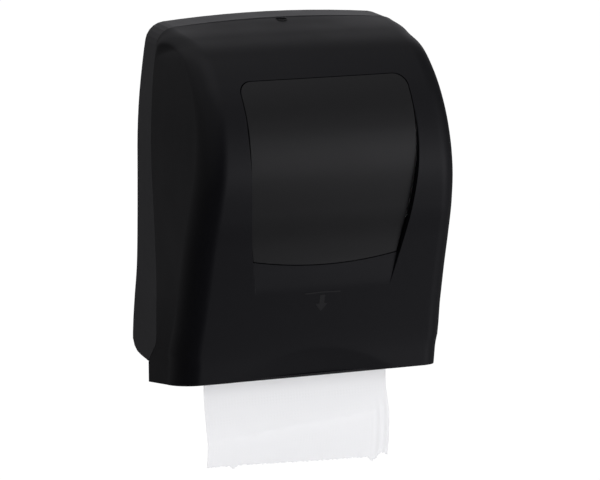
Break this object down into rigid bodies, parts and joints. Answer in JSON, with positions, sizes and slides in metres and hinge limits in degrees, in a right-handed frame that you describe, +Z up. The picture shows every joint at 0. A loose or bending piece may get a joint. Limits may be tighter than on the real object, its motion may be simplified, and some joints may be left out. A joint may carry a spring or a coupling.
{
  "type": "roll towel dispenser",
  "caption": "Black wall-mounted roll towel dispenser with a bulged hinged cover, a recessed front panel, a sprung cutting drum and a towel tail hanging below.",
  "frame": {"origin": "centre of the four wall screw holes, in the plane of the case's back face", "axes": "+X to the right seen from the front, +Y into the wall, +Z up"},
  "size_m": [0.2934, 0.2106, 0.4608],
  "materials": {
    "case_plastic": "fine matt moulded",
    "cover_plastic": "satin moulded",
    "panel_plastic": "polished moulded",
    "chassis_plastic": "matt moulded",
    "guard_plastic": "matt moulded",
    "acetal": "smooth moulded",
    "hub_plastic": "matt moulded",
    "drum_plastic": "matt moulded",
    "grip_rubber": "matt moulded",
    "roller_rubber": "matt ground",
    "pin_steel": "ground",
    "screw_steel": "zinc plated",
    "spring_steel": "drawn",
    "blade_steel": "ground edge",
    "towel": "embossed tissue",
    "core_board": "spiral wound"
  },
  "bodies": {
    "case": {"rear_case": "case_plastic", "left_side_frame": "chassis_plastic", "right_side_frame": "chassis_plastic", "drum_bushes": "acetal", "exit_guide": "guard_plastic", "drum_guard": "guard_plastic", "cross_tie": "pin_steel", "hinge_pins": "pin_steel", "keeper": "pin_steel", "frame_screws": "screw_steel", "left_roll_arm": "chassis_plastic", "arm_bracket": "chassis_plastic", "arm_pin": "pin_steel", "arm_spring": "spring_steel", "paper_web": "towel", "nip_springs": "spring_steel", "knife_cam": "acetal", "spring_post": "pin_steel", "return_spring": "spring_steel"},
    "cover": {"front_cover": "cover_plastic", "window_panel": "panel_plastic", "cover_floor": "cover_plastic", "hinge_brackets": "cover_plastic"},
    "lock": {"lock_barrel": "chassis_plastic", "lock_hook": "pin_steel"},
    "roll": {"left_hub": "hub_plastic", "roll_core": "core_board", "paper_roll": "towel"},
    "arm": {"right_roll_arm": "chassis_plastic"},
    "arm_hub": {"right_hub": "hub_plastic"},
    "nip": {"nip_carriers": "acetal", "pinch_axle": "pin_steel"},
    "roller": {"pinch_roller": "roller_rubber"},
    "drum": {"drum_axle": "pin_steel", "drum_knife_shell": "drum_plastic", "drum_plain_shell": "drum_plastic", "drum_grips": "grip_rubber", "drum_screws": "screw_steel", "crank_disc": "chassis_plastic", "crank_pin": "pin_steel", "feed_knob": "drum_plastic"},
    "knife": {"knife_carrier": "drum_plastic", "knife_blade": "blade_steel", "knife_follower": "drum_plastic"}
  },
  "joints": [
    {"name": "cover_hinge", "type": "hinge", "parent": "case", "child": "cover", "pos_m": [0, -0.064, -0.201], "axis": [1, 0, 0], "range_deg": [0, 90], "deforming": ["paper_web"]},
    {"name": "lock_turn", "type": "hinge", "parent": "cover", "child": "lock", "pos_m": [0, -0.048, 0.135], "axis": [0, 0, 1], "range_deg": [0, 90]},
    {"name": "drum_spin", "type": "hinge", "parent": "case", "child": "drum", "pos_m": [0, -0.052, -0.14], "axis": [1, 0, 0], "continuous": true, "deforming": ["return_spring"]},
    {"name": "roll_spin", "type": "hinge", "parent": "case", "child": "roll", "pos_m": [0, -0.099, 0.035], "axis": [1, 0, 0], "continuous": true},
    {"name": "hub_spin", "type": "hinge", "parent": "arm", "child": "arm_hub", "pos_m": [0.094, -0.099, 0.035], "axis": [1, 0, 0], "continuous": true},
    {"name": "pinch_spin", "type": "hinge", "parent": "nip", "child": "roller", "pos_m": [0, -0.02372, -0.09962], "axis": [1, 0, 0], "continuous": true},
    {"name": "nip_slide", "type": "slide", "parent": "case", "child": "nip", "axis": [0, 0.5736, 0.8192], "range_m": [0, 0.002], "stiffness_N_per_m": 2500, "springref_m": -0.003, "deforming": ["nip_springs"]},
    {"name": "arm_swing", "type": "hinge", "parent": "case", "child": "arm", "pos_m": [0.111, -0.013, 0.035], "axis": [0, 0, 1], "range_deg": [0, 6], "stiffness_Nm_per_rad": 8, "springref_deg": -5.73, "deforming": ["arm_spring"]},
    {"name": "knife_swing", "type": "hinge", "parent": "drum", "child": "knife", "pos_m": [0, -0.0813, -0.14841], "axis": [1, 0, 0], "range_deg": [-26, 0], "stiffness_Nm_per_rad": 1.2, "springref_deg": 20.05}
  ],
  "couplings": [
    {"joint": "roll_spin", "follows": "drum_spin", "ratio": -0.4318},
    {"joint": "hub_spin", "follows": "drum_spin", "ratio": -0.4318},
    {"joint": "pinch_spin", "follows": "drum_spin", "ratio": -3.8}
  ]
}
